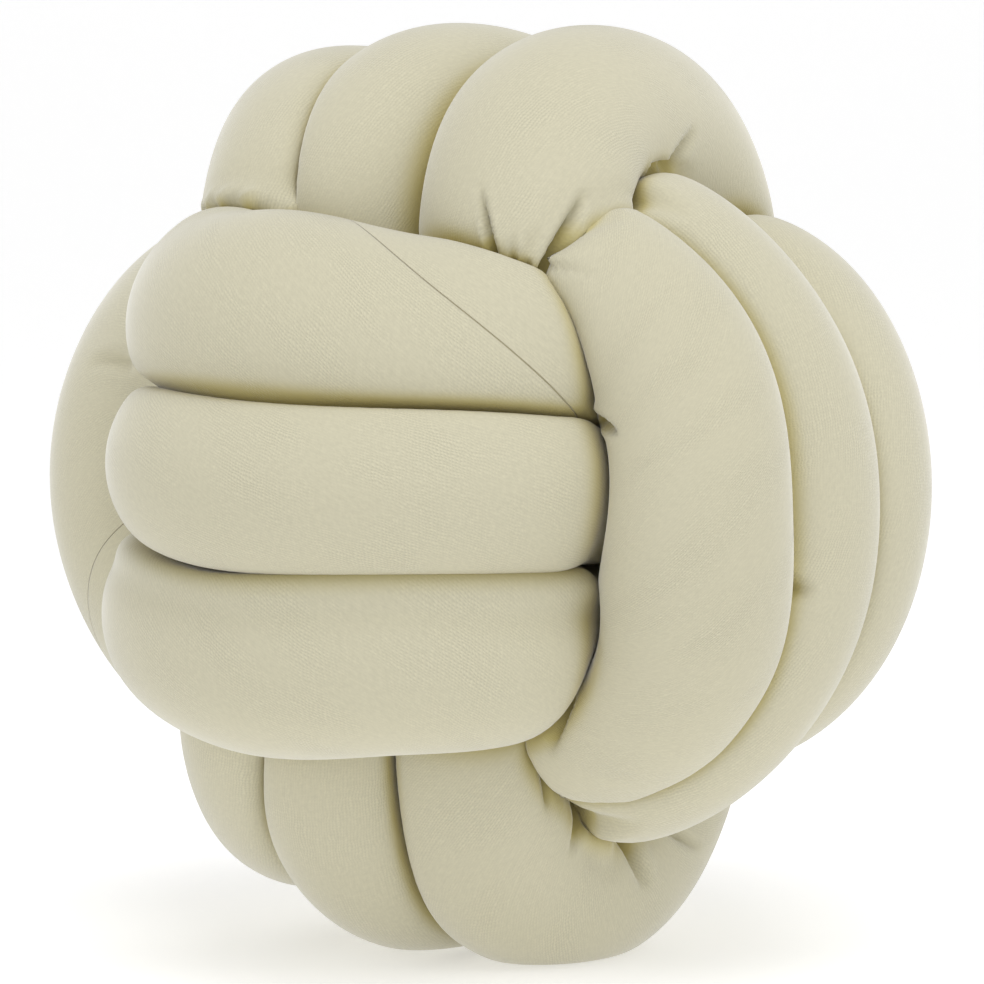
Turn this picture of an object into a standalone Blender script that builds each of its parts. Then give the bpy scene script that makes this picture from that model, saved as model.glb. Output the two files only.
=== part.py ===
"""A knot cushion: one stuffed tube of jersey wound and tucked into a ball.

Three coils lie at right angles to each other, with three turns to a coil, as in a monkey's
fist. Each turn shows as two lobes on opposite sides of the ball and passes between the other
two coils on the way round. The cushion is one solid: the nine turns and the filled middle that
they close up on. It rests on a small flat spot.

Sizes in the tables are millimetres. +Z is up, the front coil faces -Y, and the origin is at the
middle of the flat spot's level.
"""

from typing import NamedTuple

import bmesh
import bpy
import numpy as np
from mathutils import Matrix, Vector

MM = 0.001

# The coils: for each, the way that its faces look, the way that its turns run over a face, and
# the way from one turn to the next.
COIL_AXES = {
    "front": ((0, -1, 0), (1, 0, 0), (0, 0, 1)),
    "side": ((1, 0, 0), (0, 0, 1), (0, -1, 0)),
    "top": ((0, 0, 1), (0, -1, 0), (1, 0, 0)),
}

# Each lobe's own form is in LOBES; what all of them share is here.
SHOULDER_REACH = 0.665   # where the shoulder stands, as a part of the lobe's reach
SHOULDER_DROP = 11.8     # from the crown down to the shoulder
SIDE_LEVEL = 44.6        # height of the widest point, over the ball's centre
CROSSING_REACH = 39.3    # where a turn passes between the other two coils, deep inside
CROSSING_LANE = 20.0     # from one turn to the next, there
CROSSING_RADIUS = 15.0   # the tube is squeezed thin there

CORE_RADIUS = 100.0      # the turns close up on each other inside this

LEAN_DEG = 0.9           # the ball leans a little over its lowest lobes
LEAN_AXIS_DEG = 38.0     # about this level line, turned from -Y towards +X
FLAT_SPOT_DEPTH = 4.0    # how far the lowest lobe is pressed flat

RINGS = 44               # around each turn
SIDES = 16               # around the tube
SHORTEST_EDGE = 0.3      # shorter ones, where the turns meet, are closed up

JERSEY_COLOUR = (0.60, 0.57, 0.43, 1.0)


class Lobe(NamedTuple):
    """One visible half of a turn: a low end, a crown and a high end along its run."""

    coil: str
    turn: int           # -1, 0 or 1 across the coil
    face: int           # 1 on the face that the coil's first axis looks along, -1 on the other
    crown: float        # height of the tube's middle line over the ball's centre
    low_reach: float    # from the crown to the widest point, against the run
    high_reach: float   # and along it
    low_lane: float     # place across the coil at the low end
    mid_lane: float     # at the crown
    high_lane: float    # and at the high end
    low_radius: float   # of the tube, at the low end
    radius: float       # on the crown and the shoulders
    high_radius: float  # and at the high end


LOBES = (
    # coil, turn, face, crown, low and high reach, low, mid and high lane, low, crown and high radius
    Lobe("front", 1, 1, 99, 40, 59, 52, 52, 40, 36, 36, 35),
    Lobe("front", 0, 1, 115, 40, 65, 15, 8, 9, 27, 31, 30),
    Lobe("front", -1, 1, 104, 50, 58, -32, -41, -35, 31, 34, 28),
    Lobe("side", 1, 1, 112, 64, 65, 27, 45, 43, 26, 29, 29),
    Lobe("side", 0, 1, 108, 71, 70, 14, -1, 17, 31, 33, 32),
    Lobe("side", -1, 1, 105, 52, 56, -34, -34, -42, 33, 33, 32),
    Lobe("top", -1, 1, 107, 66, 60, -35, -55, -25, 30, 33, 26),
    Lobe("top", 0, 1, 113, 62, 51, -1, -13, -10, 33, 34, 28),
    Lobe("top", 1, 1, 112, 57, 52, 28, 39, 52, 29, 34, 30),
    Lobe("front", 1, -1, 101, 58, 60, 39, 45, 37, 31, 33, 31),
    Lobe("front", 0, -1, 115, 64, 60, -2, 2, 4, 31, 33, 31),
    Lobe("front", -1, -1, 101, 56, 58, -35, -43, -38, 31, 33, 31),
    Lobe("side", 1, -1, 110, 51, 52, 32, 34, 33, 34, 35, 33),
    Lobe("side", 0, -1, 114, 62, 64, 2, -8, -2, 31, 33, 31),
    Lobe("side", -1, -1, 103, 58, 56, -37, -49, -38, 31, 33, 31),
    Lobe("top", -1, -1, 100, 65, 68, -41, -58, -24, 29, 32, 27),
    Lobe("top", 0, -1, 115, 63, 62, 8, -11, -4, 30, 33, 27),
    Lobe("top", 1, -1, 115, 49, 41, 23, 31, 28, 32, 35, 32),
)


def clear_scene():
    """Remove the objects that the file opened with."""
    for scene_object in list(bpy.data.objects):
        bpy.data.objects.remove(scene_object, do_unlink=True)


def lobe_points(lobe):
    """The points of a lobe's middle line, as height, run, lane and radius in its coil's axes.

    They go along the run on the first face and against it on the other, so that a turn's two
    lobes follow each other round the ball.
    """
    ends = [
        (-1, lobe.low_reach, lobe.low_lane, lobe.low_radius),
        (1, lobe.high_reach, lobe.high_lane, lobe.high_radius),
    ]
    (first, first_reach, first_lane, first_radius), (last, last_reach, last_lane, last_radius) = (
        ends[::lobe.face])
    shoulder = lobe.crown - SHOULDER_DROP
    rows = (
        (0, first * CROSSING_REACH, lobe.turn * CROSSING_LANE, CROSSING_RADIUS),
        (SIDE_LEVEL, first * first_reach, first_lane, first_radius),
        (shoulder, first * first_reach * SHOULDER_REACH, (first_lane + lobe.mid_lane) / 2, lobe.radius),
        (lobe.crown, 0, lobe.mid_lane, lobe.radius),
        (shoulder, last * last_reach * SHOULDER_REACH, (last_lane + lobe.mid_lane) / 2, lobe.radius),
        (SIDE_LEVEL, last * last_reach, last_lane, last_radius),
    )
    return [(height * lobe.face, run, lane, radius) for height, run, lane, radius in rows]


def closed_spline(points, count):
    """A smooth closed curve through points, at count places evenly spaced along it.

    It is the cubic spline whose slope and bend match on both sides of every point. The first
    three columns are the place; the others are carried along with it.
    """
    points = np.array(points, dtype=float)
    following = np.roll(points, -1, axis=0)
    spans = np.linalg.norm((following - points)[:, :3], axis=1) ** 0.75
    before = np.roll(spans, 1)
    size = len(points)
    rows = np.arange(size)
    matrix = np.zeros((size, size))
    matrix[rows, rows - 1] = before
    matrix[rows, rows] = 2 * (before + spans)
    matrix[rows, (rows + 1) % size] = spans
    slopes = (following - points) / spans[:, None]
    bends = np.linalg.solve(matrix, 6 * (slopes - np.roll(slopes, 1, axis=0)))
    next_bends = np.roll(bends, -1, axis=0)

    knots = np.concatenate([[0], np.cumsum(spans)])
    places = np.linspace(0, knots[-1], 8 * count + 1)
    span = np.clip(np.searchsorted(knots, places, side="right") - 1, 0, size - 1)
    step = (places - knots[span])[:, None]
    width = spans[span][:, None]
    curve = (
        points[span]
        + (slopes[span] - width * (2 * bends[span] + next_bends[span]) / 6) * step
        + bends[span] / 2 * step ** 2
        + (next_bends[span] - bends[span]) / (6 * width) * step ** 3
    )
    travelled = np.linalg.norm(np.diff(curve[:, :3], axis=0), axis=1)
    travelled = np.concatenate([[0], np.cumsum(travelled)])
    wanted = np.linspace(0, travelled[-1], count, endpoint=False)
    return np.stack([np.interp(wanted, travelled, column) for column in curve.T], axis=1)


def turn_rings(coil, turn):
    """The rings of one turn's tube, as a grid of points in millimetres."""
    face, run, lane = (np.array(axis, dtype=float) for axis in COIL_AXES[coil])
    near, far = (lobe for lobe in LOBES if (lobe.coil, lobe.turn) == (coil, turn))
    spline = closed_spline(lobe_points(near) + lobe_points(far), RINGS)
    middle = spline[:, :3] @ np.array([face, run, lane])
    along = np.roll(middle, -1, axis=0) - np.roll(middle, 1, axis=0)
    along /= np.linalg.norm(along, axis=1)[:, None]
    outward = np.cross(along, lane)
    outward /= np.linalg.norm(outward, axis=1)[:, None]
    across = np.cross(along, outward)
    angle = np.linspace(0, 2 * np.pi, SIDES, endpoint=False)
    spokes = (np.cos(angle)[None, :, None] * outward[:, None]
              + np.sin(angle)[None, :, None] * across[:, None])
    return middle[:, None] + spline[:, 3, None, None] * spokes


def add_turn(coil, turn, helpers):
    """One turn as a closed tube, kept as a guide for the union."""
    rings = turn_rings(coil, turn)
    corners = np.arange(RINGS * SIDES).reshape(RINGS, SIDES)
    faces = np.stack([
        corners,
        np.roll(corners, -1, axis=0),
        np.roll(corners, (-1, -1), axis=(0, 1)),
        np.roll(corners, -1, axis=1),
    ], axis=-1)
    mesh = bpy.data.meshes.new(f"turn_{coil}_{turn}")
    mesh.from_pydata((rings.reshape(-1, 3) * MM).tolist(), [], faces.reshape(-1, 4).tolist())
    tube = bpy.data.objects.new(mesh.name, mesh)
    tube.hide_render = True
    tube.display_type = "WIRE"
    helpers.objects.link(tube)


def add_core():
    """The filled middle that the turns are joined to."""
    mesh = bpy.data.meshes.new("knot_cushion")
    shape = bmesh.new()
    bmesh.ops.create_icosphere(shape, subdivisions=3, radius=CORE_RADIUS * MM)
    shape.to_mesh(mesh)
    shape.free()
    core = bpy.data.objects.new("knot_cushion", mesh)
    bpy.context.scene.collection.objects.link(core)
    return core


def join_turns(cushion, helpers):
    """Join every turn to the middle, and apply it."""
    union = cushion.modifiers.new("turns", "BOOLEAN")
    union.operation = "UNION"
    union.operand_type = "COLLECTION"
    union.collection = helpers
    union.solver = "EXACT"
    graph = bpy.context.evaluated_depsgraph_get()
    joined = bpy.data.meshes.new_from_object(cushion.evaluated_get(graph))
    cushion.modifiers.clear()
    cushion.data = joined
    for tube in list(helpers.objects):
        bpy.data.objects.remove(tube, do_unlink=True)
    bpy.data.collections.remove(helpers)


def outer_skin(shape):
    """Fill sealed pockets between the turns: keep only the largest connected skin."""
    unseen = set(shape.faces)
    skins = []
    while unseen:
        stack = [unseen.pop()]
        skin = list(stack)
        while stack:
            for edge in stack.pop().edges:
                for face in edge.link_faces:
                    if face in unseen:
                        unseen.remove(face)
                        stack.append(face)
                        skin.append(face)
        skins.append(skin)
    skins.sort(key=len)
    for skin in skins[:-1]:
        bmesh.ops.delete(shape, geom=skin, context="FACES")


def seat(shape):
    """Lean the ball, press its flat spot and put the origin under its middle."""
    level_line = Matrix.Rotation(np.radians(LEAN_AXIS_DEG), 3, "Z") @ Vector((0, -1, 0))
    lean = Matrix.Rotation(-np.radians(LEAN_DEG), 3, level_line)
    bmesh.ops.rotate(shape, cent=(0, 0, 0), matrix=lean, verts=shape.verts)
    floor = min(vertex.co.z for vertex in shape.verts) + FLAT_SPOT_DEPTH * MM
    geometry = shape.verts[:] + shape.edges[:] + shape.faces[:]
    bmesh.ops.bisect_plane(
        shape, geom=geometry, plane_co=(0, 0, floor), plane_no=(0, 0, -1), clear_outer=True)
    rim = [edge for edge in shape.edges if edge.is_boundary]
    bmesh.ops.triangle_fill(shape, edges=rim, use_dissolve=True)
    places = np.array([vertex.co for vertex in shape.verts])
    middle = (places.min(axis=0) + places.max(axis=0)) / 2
    bmesh.ops.translate(shape, vec=(-middle[0], -middle[1], -floor), verts=shape.verts)


def jersey_material():
    """Soft matt knit."""
    material = bpy.data.materials.new("jersey")
    material.use_nodes = True
    shader = material.node_tree.nodes["Principled BSDF"]
    shader.inputs["Base Color"].default_value = JERSEY_COLOUR
    shader.inputs["Roughness"].default_value = 0.9
    shader.inputs["Metallic"].default_value = 0.0
    return material


def main():
    clear_scene()
    helpers = bpy.data.collections.new("turns")
    bpy.context.scene.collection.children.link(helpers)
    for coil in COIL_AXES:
        for turn in (-1, 0, 1):
            add_turn(coil, turn, helpers)
    cushion = add_core()
    join_turns(cushion, helpers)

    shape = bmesh.new()
    shape.from_mesh(cushion.data)
    outer_skin(shape)
    seat(shape)
    bmesh.ops.remove_doubles(shape, verts=shape.verts, dist=SHORTEST_EDGE * MM)
    bmesh.ops.triangulate(shape, faces=shape.faces)
    shape.to_mesh(cushion.data)
    shape.free()
    cushion.data.shade_smooth()
    cushion.data.materials.clear()
    cushion.data.materials.append(jersey_material())


main()
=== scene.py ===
"""The looks of a knot cushion: one stuffed jersey tube wound and tucked into a ball.

The tube is worked out as nine closed turns that press flat on each other where they meet, with
the gathers, dents and lengthwise seam of a soft filled tube, and a fine rib knit finish.
"""

from typing import NamedTuple

import bpy
import numpy as np
from bpy.props import FloatProperty, FloatVectorProperty, IntProperty, PointerProperty
from bpy.types import Operator, Panel, PropertyGroup
from mathutils import Matrix, Vector


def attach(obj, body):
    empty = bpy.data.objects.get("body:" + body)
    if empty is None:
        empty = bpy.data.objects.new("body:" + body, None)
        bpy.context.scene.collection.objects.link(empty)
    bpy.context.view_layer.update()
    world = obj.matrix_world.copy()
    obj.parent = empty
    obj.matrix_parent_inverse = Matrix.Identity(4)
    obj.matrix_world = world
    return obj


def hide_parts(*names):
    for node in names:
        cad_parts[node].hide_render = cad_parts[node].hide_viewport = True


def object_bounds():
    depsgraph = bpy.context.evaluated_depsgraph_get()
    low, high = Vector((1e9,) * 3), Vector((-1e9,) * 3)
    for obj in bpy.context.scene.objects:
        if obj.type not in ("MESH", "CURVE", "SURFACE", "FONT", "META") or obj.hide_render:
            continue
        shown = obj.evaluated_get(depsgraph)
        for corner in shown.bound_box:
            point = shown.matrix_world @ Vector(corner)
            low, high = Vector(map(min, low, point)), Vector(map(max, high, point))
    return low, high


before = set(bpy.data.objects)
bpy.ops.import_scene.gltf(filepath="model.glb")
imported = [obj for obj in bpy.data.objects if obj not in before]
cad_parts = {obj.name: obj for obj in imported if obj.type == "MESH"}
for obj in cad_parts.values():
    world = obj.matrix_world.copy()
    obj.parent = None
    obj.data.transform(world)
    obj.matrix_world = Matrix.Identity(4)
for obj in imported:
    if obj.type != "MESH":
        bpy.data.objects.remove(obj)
CAD_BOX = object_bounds()

bl_info = {
    "name": "Knot Cushion",
    "version": (1, 0, 0),
    "blender": (4, 5, 0),
    "location": "View3D > Sidebar > Knot Cushion",
    "description": "A ball cushion knotted from one stuffed jersey tube, with its stage",
    "category": "Add Mesh",
}

MM = 0.001
CUSHION_NODE = "knot_cushion"

# For each coil: the way that its faces look, the way that its turns run over a face, and the way
# from one turn to the next.
COIL_AXES = {
    "front": ((0, -1, 0), (1, 0, 0), (0, 0, 1)),
    "side": ((1, 0, 0), (0, 0, 1), (0, -1, 0)),
    "top": ((0, 0, 1), (0, -1, 0), (1, 0, 0)),
}

# The form that all lobes share, in millimetres, as the solid has it.
SHOULDER_REACH = 0.665
SHOULDER_DROP = 11.8
SIDE_LEVEL = 44.6
CROSSING_REACH = 39.3
CROSSING_LANE = 20.0
CROSSING_RADIUS = 15.0
LEAN_DEG = 0.9
LEAN_AXIS_DEG = 38.0

# Heights over the ball's centre, in millimetres: a turn is hidden below the first, and its cloth
# is held still below the second and quite free above the third.
INSIDE_LEVEL = 40.0
HELD_LEVEL = 8.0
FREE_LEVEL = 25.0

# How the points are spread over the cloth.
SIDE_CROWDING = 0.4             # towards the outer side of the tube; 0 is even
SPAN_POWER = 0.75               # of a spline's spans: 0 is even and 1 is by distance
FINE_ROWS = 8                   # places tried on a spline for each ring that is kept
INSIDE_CLOSENESS = 0.5          # of the rings inside the ball, to those that show
INSIDE_FADE = 8.0               # mm of height over which one goes over into the other

# Where turns press together.
LEAST_REACH = 2.0               # mm, of a spoke
NO_NEIGHBOUR = 1e3              # mm, reach of a spoke that meets no other turn
BLOCKS = 8                      # rings of a turn are worked out in so many lots
CORNER_SHARPNESS = 10.0         # of the change from round to pressed flat

# The cloth simulation.
START_SHARE = 0.99              # of the pressed radius, where the cloth starts
KEPT_SPEED = 0.9                # share that a point keeps from step to step
PULL_SHARE = 0.8                # share of the springs' pull that is followed
SEED = 7                        # of the random dents that the cloth starts with
DENT_ROUNDS = 3                 # of smoothing for these dents

FLOOR_SOFTNESS = 0.6 * MM       # of the edge of the spot that is pressed on the floor
CLEAR_OF_FLOOR = 20.0           # softnesses over the floor from which nothing is moved

CREASE_START_WIDTH = 0.5        # as a share of the width at the crease's end
GRAIN_END = 60.0                # from the middle of a crossing to where a lobe's grain is given

# Noises in the knit, per metre, and how far the wobble moves a stitch.
YARN_NOISE_SCALE = 900.0        # blotches a little wider than a stitch
WOBBLE_SCALE = 350.0            # uneven rows
WOBBLE_REACH = 1.6 * MM
PATCH_SCALE = 60.0              # patches where the knit shows more or less
STITCH_SHARE = 0.3              # height of a stitch to that of a wale's ridge
RIDGE_MEAN = 0.64               # mean height of the ridge, taken off so that the knit is level
PATCH_GAIN = 3.0                # the knit shows by patch noise times this
PATCH_CUT = 1.0                 # less this
LEAST_KNIT = 0.15               # but never less than by this share
KNIT_GAIN = 1.7                 # height of the stitches to that of the uneven yarn
LOW_YARN = 0.9                  # the jersey's colour is multiplied by this where the knit is low
HIGH_YARN = 1.09                # and by this where it is high

# The cloth's colour is multiplied by these: in the grooves as painted shade, darker and warmer as if
# light came in from cloth to cloth, and along the seam.
PAINTED_GROOVE_SHADE = (0.9, 0.83, 0.48)
SEAM_TINT = (0.66, 0.6, 0.48)
# The tuck is the share of painted groove shade; these set where it reaches and how strong it is.
TUCK_END = 1.25                 # room for the turn, over its radius, where a groove's tint ends
TUCKED_CREASE = 9.0             # mm deep: a crease with all of the tint
TUCK_POWER = 2.0                # keeps the tint close to the grooves

SENSOR_WIDTH = 36.0             # mm
AIM_RIGHT = 1.4 * MM            # the camera stands so far to the right of the ball's middle
AIM_DOWN = 0.99 * MM            # and so far below it
WORLD_LIGHT = 0.55              # strength of the white light from all round

# The floor and backdrop, in metres: a flat, a quarter circle up and an upright flat, swept wide.
FLOOR_NEAR = 4.0                # towards the camera
FLOOR_FAR = 2.5                 # away from it, to the start of the bend
BEND_RADIUS = 1.0
BEND_POINTS = 17
BACKDROP_HEIGHT = 4.0
HALF_WIDTH = 8.0


class Lobe(NamedTuple):
    """One visible half of a turn, in millimetres: a low end, a crown and a high end on its run."""

    coil: str
    turn: int           # -1, 0 or 1 across the coil
    face: int           # 1 on the face that the coil's first axis looks along, -1 on the other
    crown: float        # height of the tube's middle line over the ball's centre
    low_reach: float    # from the crown to the widest point, against the run
    high_reach: float   # and along it
    low_lane: float     # place across the coil at the low end
    mid_lane: float     # at the crown
    high_lane: float    # and at the high end
    low_radius: float   # of the tube, at the low end
    radius: float       # on the crown and the shoulders
    high_radius: float  # and at the high end


LOBES = (
    # coil, turn, face, crown, low and high reach, low, mid and high lane, low, crown and high radius
    Lobe("front", 1, 1, 99, 40, 59, 52, 52, 40, 36, 36, 35),
    Lobe("front", 0, 1, 115, 40, 65, 15, 8, 9, 27, 31, 30),
    Lobe("front", -1, 1, 104, 50, 58, -32, -41, -35, 31, 34, 28),
    Lobe("side", 1, 1, 112, 64, 65, 27, 45, 43, 26, 29, 29),
    Lobe("side", 0, 1, 108, 71, 70, 14, -1, 17, 31, 33, 32),
    Lobe("side", -1, 1, 105, 52, 56, -34, -34, -42, 33, 33, 32),
    Lobe("top", -1, 1, 107, 66, 60, -35, -55, -25, 30, 33, 26),
    Lobe("top", 0, 1, 113, 62, 51, -1, -13, -10, 33, 34, 28),
    Lobe("top", 1, 1, 112, 57, 52, 28, 39, 52, 29, 34, 30),
    Lobe("front", 1, -1, 101, 58, 60, 39, 45, 37, 31, 33, 31),
    Lobe("front", 0, -1, 115, 64, 60, -2, 2, 4, 31, 33, 31),
    Lobe("front", -1, -1, 101, 56, 58, -35, -43, -38, 31, 33, 31),
    Lobe("side", 1, -1, 110, 51, 52, 32, 34, 33, 34, 35, 33),
    Lobe("side", 0, -1, 114, 62, 64, 2, -8, -2, 31, 33, 31),
    Lobe("side", -1, -1, 103, 58, 56, -37, -49, -38, 31, 33, 31),
    Lobe("top", -1, -1, 100, 65, 68, -41, -58, -24, 29, 32, 27),
    Lobe("top", 0, -1, 115, 63, 62, 8, -11, -4, 30, 33, 27),
    Lobe("top", 1, -1, 115, 49, 41, 23, 31, 28, 32, 35, 32),
)
TURNS = tuple((coil, turn) for coil in COIL_AXES for turn in (-1, 0, 1))


class Crease(NamedTuple):
    """A fold drawn into the cloth: from one place on a turn to another, in millimetres.

    A negative depth raises the cloth into a ridge, which may reach into the turn next to it.
    """

    coil: str
    turn: int
    travel: float       # where it starts, along the middle line
    angle: float        # and round the tube in degrees, 0 on the outer side
    end_travel: float
    end_angle: float
    width: float
    depth: float        # at its end; it starts at nothing


CREASES = (
    # coil, turn, start travel and angle, end travel and angle, width, depth
    Crease("top", 1, 211, -5, 228, -18, 2, 7),
    Crease("top", 1, 220, -27, 229, -28, 1.8, 2),
    Crease("top", 1, 219, -36, 227, -38, 5, 2),
    Crease("top", 1, 209, -59, 227, -47, 3.2, 8),
    Crease("top", 1, 206, -98, 222, -65, 8, -5),
    Crease("top", 1, 222, -42, 232, -43, 4, -3),
    Crease("top", -1, 230, 80, 238, -60, 7, -2.5),
    Crease("side", 1, 237, -10, 244, -64, 8, 6),
    Crease("top", 1, 147, -85, 160, -106, 4, 5),
    Crease("top", 1, 142, -107, 176, -106, 3, 4),
    Crease("side", 1, 226, -52, 242, -72, 1.8, 2),
    Crease("side", 1, 186, -98, 197, -122, 3.5, 6),
    Crease("side", 1, 80, -74, 92, -100, 4, 4),
    Crease("top", 1, 398, -68, 386, -71, 2, 5),
    Crease("top", 1, 412, -74, 402, -102, 4, 4.5),
    Crease("top", 1, 408, -86, 425, -98, 6, -3.5),
    Crease("top", 1, 445, -80, 435, -110, 4.5, 8),
    Crease("top", 1, 473, -80, 458, -108, 3, 4),
    Crease("top", 1, 490, -84, 480, -104, 2.5, 2),
    Crease("side", 0, 149, -28, 149, -48, 4, 4),
    Crease("side", 0, 84, -26, 71, -38, 9, 5),
    Crease("side", 0, 244, -22, 257, -30, 8, 3),
    Crease("front", 0, 239, -110, 240, 60, 11, 1.5),
    Crease("front", 1, 208, -90, 215, 30, 10, 1),
    Crease("front", 1, 70, 38, 212, 38, 9, -2.5),
    Crease("front", -1, 70, -35, 218, -36, 10, -5),
    Crease("side", 1, 440, -72, 426, -92, 4, 2.5),
)


class SoftLight(NamedTuple):
    """A square soft light that looks at the ball's middle."""

    name: str
    azimuth: float      # degrees round from the front
    elevation: float    # degrees above the level
    distance: float     # metres
    size: float         # metres
    power: float        # watts


LIGHTS = (
    # name, azimuth, elevation, distance, size, power
    SoftLight("key", 45, 65, 2.0, 1.6, 24),
    SoftLight("left_light", -45, 0, 2.0, 1.2, 2.0),
    SoftLight("right_light", 125, 0, 2.0, 1.2, 2.2),
    SoftLight("near_light", 80, 25, 2.0, 1.2, 1.2),
)


class Grain(NamedTuple):
    """How the cloth is twisted round one lobe: angles in degrees at its ends and its crown."""

    coil: str
    turn: int
    face: int
    first_wale: float
    crown_wale: float
    last_wale: float
    first_seam: float
    crown_seam: float
    last_seam: float


GRAINS = (
    # coil, turn, face, wale at the first end, crown and last end, seam at the same
    Grain("front", 1, 1, 0, 150, 290, -264, -109, 46),
    Grain("front", 0, 1, 0, 90, 190, 170, 185, 200),
    Grain("front", -1, 1, 0, 130, 270, 170, 185, 200),
    Grain("side", 1, 1, 0, 275, 560, 160, 180, 200),
    Grain("side", 0, 1, 0, 90, 120, 160, 180, 200),
    Grain("side", -1, 1, 0, 60, 120, 160, 180, 200),
    Grain("top", -1, 1, 0, 60, 120, 160, 180, 200),
    Grain("top", 0, 1, 0, 60, 120, 160, 180, 200),
    Grain("top", 1, 1, 0, 90, 200, 160, 180, 200),
    Grain("front", 1, -1, 0, 90, 180, 160, 180, 200),
    Grain("front", 0, -1, 0, 60, 120, 160, 180, 200),
    Grain("front", -1, -1, 0, 60, 120, -150, -20, 110),
    Grain("side", 1, -1, 0, 120, 280, 130, 210, 422),
    Grain("side", 0, -1, 0, 60, 120, 160, 180, 200),
    Grain("side", -1, -1, 0, 90, 180, 160, 180, 200),
    Grain("top", -1, -1, 0, 60, 120, 160, 180, 200),
    Grain("top", 0, -1, 0, 60, 120, 160, 180, 200),
    Grain("top", 1, -1, 0, 170, 340, 160, 180, 200),
)


class KnotCushionSettings(PropertyGroup):
    """Sizes and colours of the cushion that a user would change."""

    rings: IntProperty(
        name="Rings", description="Rings of simulated points along each turn", default=192, min=60)
    sides: IntProperty(
        name="Sides", description="Simulated points around the tube", default=64, min=24)
    steps: IntProperty(
        name="Steps", description="Steps of the cloth simulation", default=150, min=1)
    natural_radius: FloatProperty(
        name="Natural Radius", description="Radius of the straight tube", default=26.5 * MM,
        min=10 * MM, unit="LENGTH")
    slack: FloatProperty(
        name="Slack", description="Length of cloth for a length of middle line", default=1.05)
    tightness: FloatProperty(
        name="Tightness", description="Least natural length of the cloth, as a share of the surface's",
        default=1.0)
    most_excess: FloatProperty(
        name="Most Excess", description="Greatest natural length of the cloth, as a share of the "
        "surface's", default=1.12)
    swell: FloatProperty(
        name="Swell", description="How much further than its radius the tube may bulge, as a share",
        default=0.01)
    pressure: FloatProperty(
        name="Pressure", description="How far the filling pushes the cloth in a step, in millimetres",
        default=0.006)
    stretch: FloatProperty(
        name="Stretch Stiffness", description="Share of a spring's stretch taken back in a step",
        default=0.5)
    squeeze: FloatProperty(
        name="Squeeze Stiffness", description="Share of a spring's squeeze taken back in a step",
        default=0.25)
    shear: FloatProperty(
        name="Shear Stiffness", description="The same for the slanting springs", default=0.1)
    bending: FloatProperty(
        name="Bending Stiffness", description="How strongly sharp bends are smoothed", default=0.15)
    unevenness: FloatProperty(
        name="Unevenness", description="Height of the random dents that the cloth starts with",
        default=0.4 * MM, unit="LENGTH")
    most_move: FloatProperty(
        name="Most Move", description="Greatest distance that the cloth may move", default=5 * MM,
        unit="LENGTH")
    cloth_gap: FloatProperty(
        name="Cloth Gap", description="Clearance between two turns that press on each other",
        default=0.3 * MM, min=0.0, unit="LENGTH")
    jersey_colour: FloatVectorProperty(
        name="Jersey", description="Colour of the knit", subtype="COLOR", size=3,
        default=(0.575, 0.544, 0.404), min=0.0, max=1.0)
    wale_pitch: FloatProperty(
        name="Wale Pitch", description="Distance from one column of stitches to the next",
        default=0.82 * MM, min=0.1 * MM, unit="LENGTH")
    course_pitch: FloatProperty(
        name="Course Pitch", description="Distance from one row of stitches to the next",
        default=0.7 * MM, min=0.1 * MM, unit="LENGTH")
    knit_depth: FloatProperty(
        name="Knit Depth", description="Height of the stitches", default=0.065 * MM,
        min=0.001 * MM, unit="LENGTH")
    seam_width: FloatProperty(
        name="Seam Width", description="Half of the width of the seam's groove", default=0.3 * MM,
        min=0.05 * MM, unit="LENGTH")
    seam_depth: FloatProperty(
        name="Seam Depth", description="Depth of the seam's groove", default=0.3 * MM, min=0.0,
        unit="LENGTH")


class KnotStageSettings(PropertyGroup):
    """The camera and the floor."""

    azimuth: FloatProperty(
        name="Azimuth", description="How far the camera stands round from the front",
        default=np.radians(37.94), subtype="ANGLE")
    elevation: FloatProperty(
        name="Elevation", description="How far the camera looks down",
        default=np.radians(4.27), subtype="ANGLE")
    distance: FloatProperty(
        name="Distance", description="From the camera to the middle of the ball",
        default=1.4, min=0.1, unit="LENGTH")
    lens: FloatProperty(
        name="Lens", description="Focal length on a 36 mm wide sensor", default=161.3, min=1.0)
    floor_colour: FloatVectorProperty(
        name="Floor", description="Colour of the floor and backdrop", subtype="COLOR", size=3,
        default=(0.75, 0.75, 0.75), min=0.0, max=1.0)
    floor_glow: FloatProperty(
        name="Floor Glow", description="Light that the floor gives off, like a light table",
        default=0.42, min=0.0)


def lobe_points(lobe):
    """A lobe's middle line: crossing, side, shoulder, crown, shoulder and side, in coil axes.

    Each row is height, run, lane and radius. Rows go along the run on the first face and
    against it on the other, so that a turn's two lobes follow each other round the ball.
    """
    ends = [
        (-1, lobe.low_reach, lobe.low_lane, lobe.low_radius),
        (1, lobe.high_reach, lobe.high_lane, lobe.high_radius),
    ]
    (first, first_reach, first_lane, first_radius), (last, last_reach, last_lane, last_radius) = (
        ends[::lobe.face])
    shoulder = lobe.crown - SHOULDER_DROP
    rows = (
        (0, first * CROSSING_REACH, lobe.turn * CROSSING_LANE, CROSSING_RADIUS),
        (SIDE_LEVEL, first * first_reach, first_lane, first_radius),
        (shoulder, first * first_reach * SHOULDER_REACH, (first_lane + lobe.mid_lane) / 2, lobe.radius),
        (lobe.crown, 0, lobe.mid_lane, lobe.radius),
        (shoulder, last * last_reach * SHOULDER_REACH, (last_lane + lobe.mid_lane) / 2, lobe.radius),
        (SIDE_LEVEL, last * last_reach, last_lane, last_radius),
    )
    return [(height * lobe.face, run, lane, radius) for height, run, lane, radius in rows]


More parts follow.
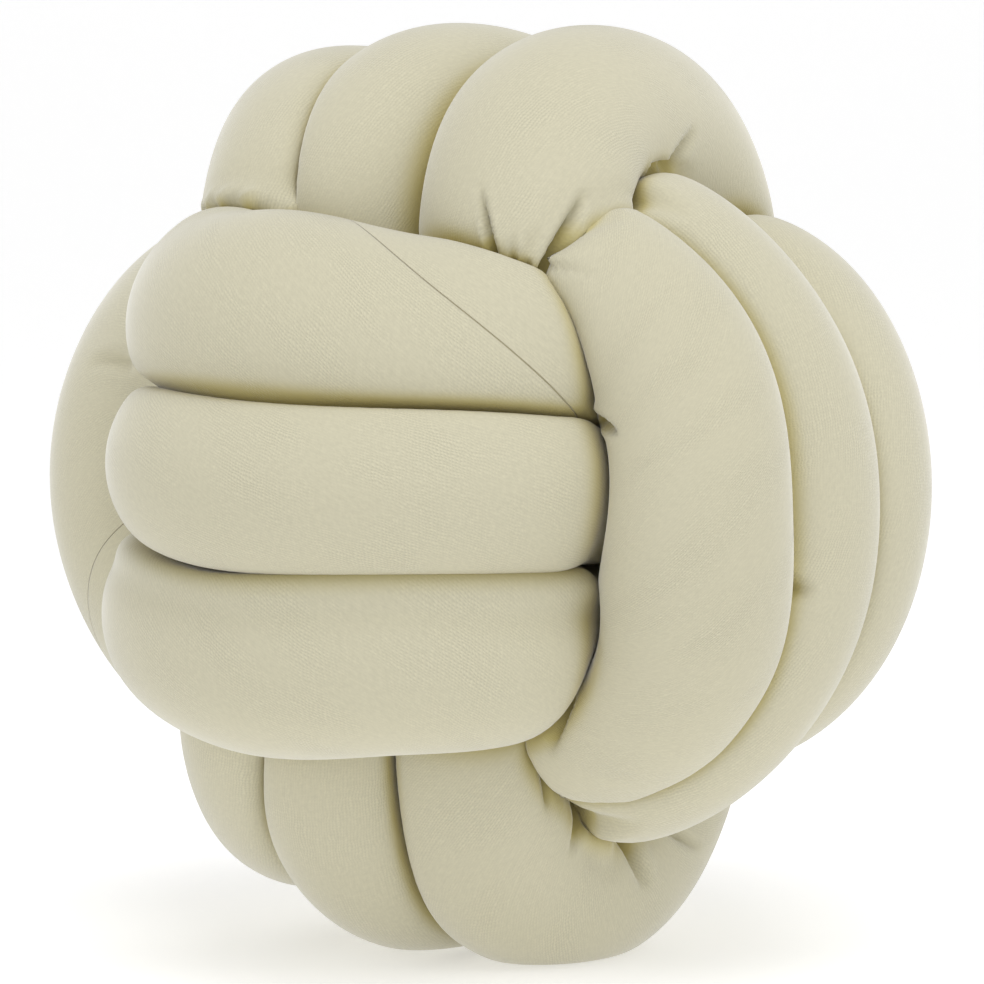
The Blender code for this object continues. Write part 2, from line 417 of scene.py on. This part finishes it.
def closed_spline(points, count):
    """A closed cubic spline through points, as count rows of place and carried values.

    Slope and bend match on both sides of every point. Rows stand close where the tube shows and
    twice as far apart inside the ball.
    """
    points = np.array(points, dtype=float)
    following = np.roll(points, -1, axis=0)
    spans = np.linalg.norm((following - points)[:, :3], axis=1) ** SPAN_POWER
    before = np.roll(spans, 1)
    size = len(points)
    rows = np.arange(size)
    matrix = np.zeros((size, size))
    matrix[rows, rows - 1] = before
    matrix[rows, rows] = 2 * (before + spans)
    matrix[rows, (rows + 1) % size] = spans
    slopes = (following - points) / spans[:, None]
    bends = np.linalg.solve(matrix, 6 * (slopes - np.roll(slopes, 1, axis=0)))
    next_bends = np.roll(bends, -1, axis=0)

    knots = np.concatenate([[0], np.cumsum(spans)])
    places = np.linspace(0, knots[-1], FINE_ROWS * count + 1)
    span = np.clip(np.searchsorted(knots, places, side="right") - 1, 0, size - 1)
    step = (places - knots[span])[:, None]
    width = spans[span][:, None]
    curve = (
        points[span]
        + (slopes[span] - width * (2 * bends[span] + next_bends[span]) / 6) * step
        + bends[span] / 2 * step ** 2
        + (next_bends[span] - bends[span]) / (6 * width) * step ** 3
    )
    lengths = np.linalg.norm(np.diff(curve[:, :3], axis=0), axis=1)
    heights = np.abs(curve[1:, 0])
    showing = 1 / (1 + np.exp((INSIDE_LEVEL - heights) / INSIDE_FADE))
    closeness = INSIDE_CLOSENESS + (1 - INSIDE_CLOSENESS) * showing
    travelled = np.concatenate([[0], np.cumsum(lengths * closeness)])
    wanted = np.linspace(0, travelled[-1], count, endpoint=False)
    return np.stack([np.interp(wanted, travelled, column) for column in curve.T], axis=1)


class Knot(NamedTuple):
    """All nine turns: arrays with a row per turn, then per ring and, for spokes, per side.

    Places, radii, heights and travel are in millimetres, and ways have length 1.
    """

    middle: np.ndarray   # turns x rings x 3, the middle lines
    radius: np.ndarray   # turns x rings, of the round tube before it is pressed
    height: np.ndarray   # turns x rings, from the ball's middle towards the lobe's own face
    side: np.ndarray     # turns x rings, 1 on the coil's first face and -1 on the other
    outward: np.ndarray  # turns x rings x 3, the way out of the bend
    across: np.ndarray   # turns x rings x 3, at right angles to both
    spokes: np.ndarray   # turns x rings x sides x 3, of length 1
    travel: np.ndarray   # turns x rings, distance along the middle line


def ring_angles(sides):
    """Angles round the tube, closest together on the outer side, worked out from even steps."""
    even = np.linspace(-np.pi, np.pi, sides, endpoint=False)
    return even - SIDE_CROWDING * np.sin(even)


def lay_turns(rings, sides):
    """The middle lines of all turns and the spokes of their rings.

    A spoke at angle a is cos(a) times the way out of the bend plus sin(a) times the way across.
    """
    splines, axes = [], []
    for coil, turn in TURNS:
        near, far = (lobe for lobe in LOBES if (lobe.coil, lobe.turn) == (coil, turn))
        splines.append(closed_spline(lobe_points(near) + lobe_points(far), rings))
        axes.append(COIL_AXES[coil])
    splines, axes = np.array(splines), np.array(axes, dtype=float)
    middle = splines[..., :3] @ axes
    along = unit(np.roll(middle, -1, axis=1) - np.roll(middle, 1, axis=1))
    outward = unit(np.cross(along, axes[:, None, 2]))
    across = np.cross(along, outward)
    angle = ring_angles(sides)[:, None]
    spokes = np.cos(angle) * outward[:, :, None] + np.sin(angle) * across[:, :, None]
    steps = np.linalg.norm(np.roll(middle, -1, axis=1) - middle, axis=-1)
    travel = np.cumsum(steps, axis=1) - steps
    height = np.abs(splines[..., 0])
    side = np.where(splines[..., 0] >= 0, 1, -1)
    parts = (middle, splines[..., 3], height, side, outward, across, spokes, travel)
    return Knot(*(part.astype(np.float32) for part in parts))


def unit(vectors):
    """Vectors of the same way and of length 1."""
    return vectors / np.maximum(np.linalg.norm(vectors, axis=-1, keepdims=True), 1e-9)


def soft_least(first, second):
    """The lesser of two lengths, with the change between them rounded: a mean of negative power."""
    power = -CORNER_SHARPNESS
    return (first ** power + second ** power) ** (1 / power)


def reach_of_spokes(knot, gap):
    """How far each spoke goes before it meets the plane where two turns press together.

    Between a ring's centre C of radius R and a neighbour's centre Q of radius S, the plane holds
    the points of equal power, so a spoke u meets it at (|C-Q|^2 + R^2 - S^2) / (2 u.(Q-C)). The
    nearest such plane counts.
    """
    reach = np.empty(knot.spokes.shape[:3], dtype=np.float32)
    for own in range(len(TURNS)):
        others = np.arange(len(TURNS)) != own
        centres = knot.middle[others, ::2].reshape(-1, 3)
        radii = knot.radius[others, ::2].reshape(-1)
        for block in np.array_split(np.arange(knot.middle.shape[1]), BLOCKS):
            lines = centres[None] - knot.middle[own, block, None]
            power = (lines ** 2).sum(axis=2) + knot.radius[own, block, None] ** 2 - radii[None] ** 2
            facing = knot.spokes[own, block] @ lines.transpose(0, 2, 1)
            meets = power[:, None] / (2 * np.maximum(facing, 1e-3))
            meets = np.where(facing > 1e-3, meets, NO_NEIGHBOUR)
            reach[own, block] = meets.min(axis=2)
    return np.clip(reach - gap / 2, LEAST_REACH, NO_NEIGHBOUR)


def draw_creases(knot):
    """Depth of the drawn creases: nothing at the start and all of it at the end, with round sides.

    On the unrolled tube, a is the distance to the crease's line over its width, which widens
    towards the end. The depth goes as (1 - a^2) exp(-a^2), so the cloth stands up a little on
    both sides, or is let down a little where the crease is a ridge.
    """
    depth = np.zeros(knot.spokes.shape[:3], dtype=np.float32)
    angle = ring_angles(knot.spokes.shape[2])
    for crease in CREASES:
        turn = TURNS.index((crease.coil, crease.turn))
        travel = knot.travel[turn][:, None]
        radius = np.interp(crease.travel, knot.travel[turn], knot.radius[turn])
        span = np.array([crease.end_travel - crease.travel,
                         np.radians(crease.end_angle - crease.angle) * radius])
        away = np.stack(np.broadcast_arrays(
            travel - crease.travel, (angle - np.radians(crease.angle)) * radius), axis=-1)
        share = np.clip(away @ span / (span @ span), 0, 1)
        width = crease.width * (CREASE_START_WIDTH + (1 - CREASE_START_WIDTH) * share)
        squared = ((away - share[..., None] * span) ** 2).sum(axis=-1) / width ** 2
        depth[turn] += crease.depth * share * (2 - share) * (1 - squared) * np.exp(-squared)
    return depth


def turned_places(knot, name):
    """The angle round the tube where the wales or the seam run, ring by ring, without jumps."""
    rows = []
    for turn, (coil, number) in enumerate(TURNS):
        travel, places, angles = knot.travel[turn], [], []
        crossings = np.flatnonzero(knot.side[turn] != np.roll(knot.side[turn], 1))
        middle = travel[crossings.max()]
        total = travel[-1] + travel[1]
        for face, start, end in ((1, 0.0, middle), (-1, middle, total)):
            grain = next(row for row in GRAINS if row[:3] == (coil, number, face))
            first, crown, last = (getattr(grain, part + name) for part in ("first_", "crown_", "last_"))
            places += [start + GRAIN_END, (start + end) / 2, end - GRAIN_END]
            angles += [first, crown, last]
        rows.append(np.interp(travel, places, np.radians(angles)))
    return np.stack(rows)


def shifted(grid, along, round_):
    """The grid's values, each taken from its neighbour so many rings and sides further on."""
    return np.roll(grid, (-along, -round_), axis=(1, 2))


def outer_normals(points):
    """The way straight out of the cloth at each point."""
    return unit(np.cross(shifted(points, 0, 1) - shifted(points, 0, -1),
                         shifted(points, 1, 0) - shifted(points, -1, 0)))


def refined(points):
    """Twice as many rings and sides: a point midway between each two, on the curve through four."""
    for axis in (1, 2):
        near = points + np.roll(points, -1, axis)
        far = np.roll(points, 1, axis) + np.roll(points, -2, axis)
        shape = list(points.shape)
        shape[axis] *= 2
        points = np.stack([points, (9 * near - far) / 16], axis=axis + 1).reshape(shape)
    return points


def settle_cloth(knot, reach, settings):
    """Cloth simulation: the tube's cloth settles under the pressure of the filling.

    The cloth is a net of springs along, round and slantwise, whose natural lengths are those of
    a straight tube of even girth. Where the turn is squeezed or bent the other way there is too
    much cloth, which gathers. In each step the points keep most of their speed, are pushed out by
    the filling, are pulled by the springs, are smoothed a little as bending asks, and are kept
    off the neighbours' cloth. What lies inside the ball stays in place.
    """
    radius = soft_least(reach, knot.radius[..., None])
    limit = radius * (1 + settings.swell)
    full = knot.middle[:, :, None] + radius[..., None] * knot.spokes
    start = knot.middle[:, :, None] + START_SHARE * radius[..., None] * knot.spokes

    spacing = np.linalg.norm(shifted(knot.middle[:, :, None], 1, 0) - knot.middle[:, :, None], axis=-1)
    lengthwise = np.linalg.norm(shifted(full, 1, 0) - full, axis=-1)
    round_ = np.linalg.norm(shifted(full, 0, 1) - full, axis=-1)
    girth = round_.sum(axis=2, keepdims=True)
    natural_girth = 2 * np.pi * settings.natural_radius / MM
    lengthwise = np.clip(settings.slack * spacing, settings.tightness * lengthwise,
                         settings.most_excess * lengthwise)
    round_ = round_ * np.clip(natural_girth / girth, settings.tightness, settings.most_excess)
    slant = np.sqrt(lengthwise ** 2 + round_ ** 2)
    springs = (
        (1, 0, lengthwise, settings.stretch, settings.squeeze),
        (0, 1, round_, settings.stretch, settings.squeeze),
        (1, 1, slant, settings.shear, settings.shear),
        (1, -1, slant, settings.shear, settings.shear),
    )
    free = np.clip((knot.height - HELD_LEVEL) / (FREE_LEVEL - HELD_LEVEL), 0, 1)
    free = (free ** 2 * (3 - 2 * free))[..., None, None]

    uneven = np.random.default_rng(SEED).normal(size=start.shape[:3]).astype(np.float32)
    for _ in range(DENT_ROUNDS):
        uneven = (uneven + shifted(uneven, 1, 0) + shifted(uneven, -1, 0)
                  + shifted(uneven, 0, 1) + shifted(uneven, 0, -1)) / 5
    uneven *= settings.unevenness / MM / uneven.std()
    points = start + free * uneven[..., None] * knot.spokes
    before = points.copy()
    for _ in range(settings.steps):
        pushed = settings.pressure * outer_normals(points)
        points, before = points + (points - before) * KEPT_SPEED + pushed, points
        pull = np.zeros_like(points)
        for along, side, natural, stretch, squeeze in springs:
            line = shifted(points, along, side) - points
            length = np.linalg.norm(line, axis=-1)
            excess = 1 - natural / length
            move = line * (0.5 * np.where(excess > 0, stretch, squeeze) * excess)[..., None]
            pull += move - shifted(move, -along, -side)
        points += PULL_SHARE * pull
        dent = flatness(flatness(points - start))
        points -= settings.bending * dent
        points = keep_within(points, knot, limit)
        shift = (points - start) * free
        far = np.linalg.norm(shift, axis=-1, keepdims=True) * MM / settings.most_move
        points = start + shift / np.maximum(1, far)
    return points


def flatness(grid):
    """The mean of the four neighbours less the value itself."""
    near = shifted(grid, 1, 0) + shifted(grid, -1, 0) + shifted(grid, 0, 1) + shifted(grid, 0, -1)
    return near / 4 - grid


def keep_within(points, knot, limit):
    """Draw points that are further from their middle line than the limit back to it."""
    sides = limit.shape[2]
    even = np.linspace(-np.pi, np.pi, sides + 1)
    rest = points - knot.middle[:, :, None]
    out = (rest * knot.outward[:, :, None]).sum(axis=-1)
    over = (rest * knot.across[:, :, None]).sum(axis=-1)
    place = np.interp(np.arctan2(over, out), even - SIDE_CROWDING * np.sin(even), np.arange(sides + 1.0))
    lower = np.floor(place).astype(int)
    share = place - lower
    bound = (np.take_along_axis(limit, lower % sides, axis=2) * (1 - share)
             + np.take_along_axis(limit, (lower + 1) % sides, axis=2) * share)
    cut = np.maximum(1 - bound / np.maximum(np.hypot(out, over), 1e-6), 0)
    radial = out[..., None] * knot.outward[:, :, None] + over[..., None] * knot.across[:, :, None]
    return points - radial * cut[..., None]


def lean_matrix():
    """The ball leans a little about a level line."""
    level_line = Matrix.Rotation(np.radians(LEAN_AXIS_DEG), 3, "Z") @ Vector((0, -1, 0))
    return np.array(Matrix.Rotation(-np.radians(LEAN_DEG), 3, level_line))


def seat_offset(points):
    """From the knot's own centre to where the solid holds it: same middle, same top."""
    low, high = np.array(CAD_BOX[0]), np.array(CAD_BOX[1])
    offset = (low + high) / 2 - (points.min(axis=0) + points.max(axis=0)) / 2
    offset[2] = high[2] - points[:, 2].max()
    return offset


def press_on_floor(points, floor):
    """Flatten what would sink into the floor, with a soft edge."""
    height = (points[:, 2] - floor) / FLOOR_SOFTNESS
    lifted = np.log1p(np.exp(np.minimum(height, CLEAR_OF_FLOOR)))
    pressed = points.copy()
    pressed[:, 2] = np.where(height < CLEAR_OF_FLOOR, floor + lifted * FLOOR_SOFTNESS, points[:, 2])
    return pressed


def grid_faces(rings, sides, first):
    """Corner numbers of a closed grid of quads, starting at first."""
    corners = first + np.arange(rings * sides).reshape(rings, sides)
    return np.stack([
        corners,
        np.roll(corners, -1, axis=1),
        np.roll(corners, (-1, -1), axis=(0, 1)),
        np.roll(corners, -1, axis=0),
    ], axis=-1).reshape(-1, 4)


def new_mesh(name, points, faces):
    """A mesh object from arrays of points and quads, shaded smooth."""
    mesh = bpy.data.meshes.new(name)
    mesh.vertices.add(len(points))
    mesh.vertices.foreach_set("co", points.astype(np.float32).ravel())
    mesh.loops.add(faces.size)
    mesh.loops.foreach_set("vertex_index", faces.astype(np.int32).ravel())
    mesh.polygons.add(len(faces))
    mesh.polygons.foreach_set("loop_start", np.arange(0, faces.size, 4, dtype=np.int32))
    mesh.polygons.foreach_set("use_smooth", np.ones(len(faces), dtype=bool))
    mesh.update(calc_edges=True)
    mesh.validate()
    piece = bpy.data.objects.new(name, mesh)
    bpy.context.scene.collection.objects.link(piece)
    return piece


def knot_geometry(settings):
    """Points in metres, faces, cloth coordinates and tuck of the whole tube.

    After that the net is made twice as fine, and the creases are drawn into it, so nothing keeps
    their ridges off the next turn. The tuck, the share of painted groove shade, is 1 where two turns
    touch or a crease is deep, and nothing on the open cloth.
    """
    knot = lay_turns(settings.rings, settings.sides)
    radii = knot.radius
    reach = reach_of_spokes(knot, settings.cloth_gap / MM)
    points = settle_cloth(knot, reach, settings)
    rings, sides = 2 * settings.rings, 2 * settings.sides
    points = refined(points)
    knot = lay_turns(rings, sides)
    depth = draw_creases(knot)
    points -= depth[..., None] * outer_normals(points)
    faces = np.concatenate([
        grid_faces(rings, sides, turn * rings * sides) for turn in range(len(TURNS))])
    angle = ring_angles(sides)
    girth = 2 * np.pi * settings.natural_radius
    # Tuck: the share of painted shade in the grooves, where turns touch and in deep creases.
    tuck = refined(np.clip((TUCK_END - reach / radii[..., None]) / (TUCK_END - 1), 0, 1)[..., None])
    tuck = np.clip(tuck[..., 0] + np.maximum(depth, 0) / TUCKED_CREASE, 0, 1)
    lengthwise = face_values(knot.travel[..., None] * MM + 0 * angle, faces, 1e3)
    wales = face_values(angle - turned_places(knot, "wale")[..., None], faces, 2 * np.pi)
    seam = face_values(angle - turned_places(knot, "seam")[..., None], faces, 2 * np.pi)
    layers = {
        "Knit": np.stack([lengthwise, wales * girth / (2 * np.pi)], axis=-1),
        "Seam": np.stack([lengthwise, seam * girth / (2 * np.pi)], axis=-1),
    }
    return points.reshape(-1, 3) * MM @ lean_matrix().T, faces, layers, tuck.ravel()


def face_values(grid, faces, period):
    """A value for each corner of each face, within half a period of the face's first corner."""
    corners = grid.reshape(-1)[faces]
    first = corners[:, :1] - period * np.round(corners[:, :1] / period)
    rest = corners - corners[:, :1]
    return first + rest - period * np.round(rest / period)


def math_node(tree, operation, *values):
    """A Math node with links or numbers for its inputs; gives its output."""
    node = tree.nodes.new("ShaderNodeMath")
    node.operation = operation
    for socket, value in zip(node.inputs, values):
        if isinstance(value, (int, float)):
            socket.default_value = value
        else:
            tree.links.new(value, socket)
    return node.outputs[0]


def noise_node(tree, place, scale, detail):
    """A noise texture at a place."""
    noise = tree.nodes.new("ShaderNodeTexNoise")
    noise.inputs["Scale"].default_value = scale
    noise.inputs["Detail"].default_value = detail
    tree.links.new(place, noise.inputs["Vector"])
    return noise


def knit_group():
    """Jersey knit: wales of V-shaped stitches, as a height whose mean is about a half.

    Along and across are in metres. Each wale is a rounded ridge, and on it the rows of stitches
    lean towards its middle from both sides. A slow noise makes the rows wobble, one about as fine
    as the stitches makes the yarn uneven, and a broad one makes patches where the knit is flatter.
    """
    group = bpy.data.node_groups.new("Jersey Knit", "ShaderNodeTree")
    face = group.interface
    face.new_socket("Vector", in_out="INPUT", socket_type="NodeSocketVector")
    face.new_socket("Wale Pitch", in_out="INPUT", socket_type="NodeSocketFloat")
    face.new_socket("Course Pitch", in_out="INPUT", socket_type="NodeSocketFloat")
    face.new_socket("Height", in_out="OUTPUT", socket_type="NodeSocketFloat")
    inlet = group.nodes.new("NodeGroupInput")
    outlet = group.nodes.new("NodeGroupOutput")
    place = inlet.outputs["Vector"]
    wobble = noise_node(group, place, WOBBLE_SCALE, 1.0)
    shift = group.nodes.new("ShaderNodeVectorMath")
    shift.operation = "MULTIPLY_ADD"
    group.links.new(wobble.outputs["Color"], shift.inputs[0])
    shift.inputs[1].default_value = (WOBBLE_REACH, WOBBLE_REACH, 0)
    group.links.new(place, shift.inputs[2])
    parts = group.nodes.new("ShaderNodeSeparateXYZ")
    group.links.new(shift.outputs["Vector"], parts.inputs[0])
    wale = math_node(group, "DIVIDE", parts.outputs["Y"], inlet.outputs["Wale Pitch"])
    from_middle = math_node(group, "PINGPONG", wale, 0.5)
    ridge = math_node(group, "SINE", math_node(group, "MULTIPLY", from_middle, np.pi))
    course = math_node(group, "DIVIDE", parts.outputs["X"], inlet.outputs["Course Pitch"])
    leaning = math_node(group, "ADD", course, from_middle)
    stitch = math_node(group, "SINE", math_node(group, "MULTIPLY", leaning, 2 * np.pi))
    level_ridge = math_node(group, "SUBTRACT", ridge, RIDGE_MEAN)
    stitches = math_node(group, "MULTIPLY_ADD", stitch, STITCH_SHARE, level_ridge)
    patch = noise_node(group, place, PATCH_SCALE, 2.0).outputs["Fac"]
    yarn = noise_node(group, place, YARN_NOISE_SCALE, 2.0).outputs["Fac"]
    shown = math_node(group, "MULTIPLY_ADD", patch, PATCH_GAIN, -PATCH_CUT)
    shown = math_node(group, "MAXIMUM", shown, LEAST_KNIT)
    uneven = math_node(group, "MULTIPLY", stitches, math_node(group, "MULTIPLY", shown, yarn))
    height = math_node(group, "MULTIPLY_ADD", uneven, KNIT_GAIN, yarn)
    group.links.new(height, outlet.inputs["Height"])
    return group


def seam_group():
    """The lengthwise seam: 1 on its line and 0 from one width away."""
    group = bpy.data.node_groups.new("Tube Seam", "ShaderNodeTree")
    face = group.interface
    face.new_socket("Vector", in_out="INPUT", socket_type="NodeSocketVector")
    face.new_socket("Width", in_out="INPUT", socket_type="NodeSocketFloat")
    face.new_socket("Mask", in_out="OUTPUT", socket_type="NodeSocketFloat")
    inlet = group.nodes.new("NodeGroupInput")
    outlet = group.nodes.new("NodeGroupOutput")
    parts = group.nodes.new("ShaderNodeSeparateXYZ")
    group.links.new(inlet.outputs["Vector"], parts.inputs[0])
    away = math_node(group, "ABSOLUTE", parts.outputs["Y"])
    share = math_node(group, "DIVIDE", away, inlet.outputs["Width"])
    mask = group.nodes.new("ShaderNodeMapRange")
    mask.interpolation_type = "SMOOTHSTEP"
    mask.inputs["To Min"].default_value = 1.0
    mask.inputs["To Max"].default_value = 0.0
    group.links.new(share, mask.inputs["Value"])
    group.links.new(mask.outputs["Result"], outlet.inputs["Mask"])
    return group


def placed_group(material, group, layer, **values):
    """A shader group in a material, on one of the cloth's coordinate layers; gives its output."""
    tree = material.node_tree
    place = tree.nodes.new("ShaderNodeUVMap")
    place.uv_map = layer
    node = tree.nodes.new("ShaderNodeGroup")
    node.node_tree = group
    tree.links.new(place.outputs["UV"], node.inputs["Vector"])
    for name, value in values.items():
        node.inputs[name.replace("_", " ").title()].default_value = value
    return node.outputs[0]


def jersey_material(settings):
    """Matt cream jersey with a fine knit and one seam.

    Light gets into a groove from cloth to cloth and grows warmer and dimmer. As painted shade for
    that the cloth itself is given a darker, warmer colour where two turns touch or a crease is deep.
    """
    material = bpy.data.materials.new("cream_jersey")
    material.use_nodes = True
    tree = material.node_tree
    shader = tree.nodes["Principled BSDF"]
    shader.inputs["Roughness"].default_value = 0.9
    shader.inputs["Specular IOR Level"].default_value = 0.2
    shader.inputs["Sheen Weight"].default_value = 0.7
    shader.inputs["Sheen Roughness"].default_value = 0.4
    knit = placed_group(material, knit_group(), "Knit", wale_pitch=settings.wale_pitch,
                        course_pitch=settings.course_pitch)
    seam = placed_group(material, seam_group(), "Seam", width=settings.seam_width)

    shade = tree.nodes.new("ShaderNodeMix")
    shade.data_type = "RGBA"
    colour = Vector(settings.jersey_colour)
    shade.inputs["A"].default_value = (*(colour * LOW_YARN), 1.0)
    shade.inputs["B"].default_value = (*(colour * HIGH_YARN), 1.0)
    tree.links.new(knit, shade.inputs["Factor"])
    # Painted groove shade: the tuck mask mixes in a darker, warmer colour.
    tuck = tree.nodes.new("ShaderNodeAttribute")
    tuck.attribute_name = "Tuck"
    groove_shaded = tree.nodes.new("ShaderNodeMix")
    groove_shaded.data_type = "RGBA"
    groove_shaded.inputs["B"].default_value = (*(colour * Vector(PAINTED_GROOVE_SHADE)), 1.0)
    tree.links.new(shade.outputs["Result"], groove_shaded.inputs["A"])
    groove_shade_share = math_node(tree, "POWER", tuck.outputs["Fac"], TUCK_POWER)
    tree.links.new(groove_shade_share, groove_shaded.inputs["Factor"])
    stitched = tree.nodes.new("ShaderNodeMix")
    stitched.data_type = "RGBA"
    stitched.inputs["B"].default_value = (*(colour * Vector(SEAM_TINT)), 1.0)
    tree.links.new(groove_shaded.outputs["Result"], stitched.inputs["A"])
    tree.links.new(seam, stitched.inputs["Factor"])
    tree.links.new(stitched.outputs["Result"], shader.inputs["Base Color"])

    height = math_node(tree, "MULTIPLY_ADD", seam, -settings.seam_depth / settings.knit_depth, knit)
    bump = tree.nodes.new("ShaderNodeBump")
    bump.inputs["Distance"].default_value = settings.knit_depth
    tree.links.new(height, bump.inputs["Height"])
    tree.links.new(bump.outputs["Normal"], shader.inputs["Normal"])
    return material


class KNOT_OT_cushion(Operator):
    """Make the knotted tube and let it stand for the plain solid"""

    bl_idname = "knot.cushion"
    bl_label = "Knot Cushion"

    def execute(self, context):
        settings = context.scene.knot_cushion
        points, faces, layers, tuck = knot_geometry(settings)
        offset = seat_offset(points)
        context.scene["knot_centre"] = [float(value) for value in offset]
        points = press_on_floor(points + offset, CAD_BOX[0][2])
        cushion = new_mesh("knotted_tube", points, faces)
        for name, values in layers.items():
            layer = cushion.data.uv_layers.new(name=name)
            layer.data.foreach_set("uv", values.astype(np.float32).ravel())
        # The tuck mask, which the material uses for its painted groove shade.
        tucked = cushion.data.attributes.new("Tuck", "FLOAT", "POINT")
        tucked.data.foreach_set("value", tuck.astype(np.float32))
        cushion.data.materials.append(jersey_material(settings))
        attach(cushion, "root")
        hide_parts(CUSHION_NODE)
        return {"FINISHED"}


def camera_axes(azimuth, elevation):
    """The ways back, right and up of a level camera."""
    back = Vector((np.sin(azimuth) * np.cos(elevation), -np.cos(azimuth) * np.cos(elevation),
                   np.sin(elevation)))
    right = Vector((np.cos(azimuth), np.sin(azimuth), 0))
    return back, right, back.cross(right)


def add_light(light, target):
    """Put up a soft light that looks at target."""
    data = bpy.data.lights.new(light.name, "AREA")
    data.shape = "SQUARE"
    data.size = light.size
    data.energy = light.power
    lamp = bpy.data.objects.new(light.name, data)
    back, _, _ = camera_axes(np.radians(light.azimuth), np.radians(light.elevation))
    lamp.location = target + back * light.distance
    lamp.rotation_euler = back.to_track_quat("Z", "Y").to_euler()
    bpy.context.scene.collection.objects.link(lamp)


def add_backdrop(settings):
    """A floor that curves up into a backdrop: a quarter circle between two flats, swept wide."""
    bend = np.linspace(0, np.pi / 2, BEND_POINTS)
    profile = np.concatenate([
        [[-FLOOR_NEAR, 0.0]],
        np.stack([FLOOR_FAR + BEND_RADIUS * np.sin(bend), BEND_RADIUS * (1 - np.cos(bend))], axis=1),
        [[FLOOR_FAR + BEND_RADIUS, BACKDROP_HEIGHT]],
    ])
    sides = np.array([-HALF_WIDTH, HALF_WIDTH])
    grid = np.stack([
        np.repeat(sides, len(profile)),
        np.tile(profile[:, 0], 2),
        np.tile(profile[:, 1], 2),
    ], axis=1)
    first = np.arange(len(profile) - 1)
    faces = np.stack([first, first + len(profile), first + len(profile) + 1, first + 1], axis=1)
    turn = np.array(Matrix.Rotation(settings.azimuth, 3, "Z"))
    backdrop = new_mesh("backdrop", grid @ turn.T, faces)
    material = bpy.data.materials.new("pale_floor")
    material.use_nodes = True
    shader = material.node_tree.nodes["Principled BSDF"]
    shader.inputs["Base Color"].default_value = (*settings.floor_colour, 1.0)
    shader.inputs["Roughness"].default_value = 0.9
    shader.inputs["Emission Color"].default_value = (1, 1, 1, 1)
    shader.inputs["Emission Strength"].default_value = settings.floor_glow
    backdrop.data.materials.append(material)


class KNOT_OT_stage(Operator):
    """Set up the floor, the soft lights and the camera"""

    bl_idname = "knot.stage"
    bl_label = "Stage"

    def execute(self, context):
        scene = context.scene
        settings = scene.knot_stage
        centre = Vector(scene["knot_centre"])
        back, right, up = camera_axes(settings.azimuth, settings.elevation)
        data = bpy.data.cameras.new("camera")
        data.lens = settings.lens
        data.sensor_width = SENSOR_WIDTH
        camera = bpy.data.objects.new("camera", data)
        camera.location = centre + back * settings.distance + right * AIM_RIGHT - up * AIM_DOWN
        camera.rotation_euler = Matrix((right, up, back)).transposed().to_euler()
        scene.collection.objects.link(camera)
        scene.camera = camera
        add_backdrop(settings)
        for light in LIGHTS:
            add_light(light, centre)
        world = bpy.data.worlds.new("studio")
        world.use_nodes = True
        world.node_tree.nodes["Background"].inputs["Color"].default_value = (1, 1, 1, 1)
        world.node_tree.nodes["Background"].inputs["Strength"].default_value = WORLD_LIGHT
        scene.world = world
        scene.view_settings.view_transform = "Standard"
        return {"FINISHED"}


class KNOT_PT_panel(Panel):
    """The cushion and its stage, in the 3D view's sidebar"""

    bl_idname = "KNOT_PT_panel"
    bl_label = "Knot Cushion"
    bl_space_type = "VIEW_3D"
    bl_region_type = "UI"
    bl_category = "Knot Cushion"

    def draw(self, context):
        layout = self.layout
        for group in (context.scene.knot_cushion, context.scene.knot_stage):
            box = layout.box()
            for name in group.__annotations__:
                box.prop(group, name)
        layout.operator(KNOT_OT_cushion.bl_idname)
        layout.operator(KNOT_OT_stage.bl_idname)


CLASSES = (KnotCushionSettings, KnotStageSettings, KNOT_OT_cushion, KNOT_OT_stage, KNOT_PT_panel)


def register():
    """Make the classes and their settings known to Blender."""
    for item in CLASSES:
        bpy.utils.register_class(item)
    bpy.types.Scene.knot_cushion = PointerProperty(type=KnotCushionSettings)
    bpy.types.Scene.knot_stage = PointerProperty(type=KnotStageSettings)


def unregister():
    """Take them away again."""
    del bpy.types.Scene.knot_stage
    del bpy.types.Scene.knot_cushion
    for item in reversed(CLASSES):
        bpy.utils.unregister_class(item)


def main():
    """Make everything in order."""
    register()
    bpy.ops.knot.cushion()
    bpy.ops.knot.stage()


if __name__ == "__main__":
    main()
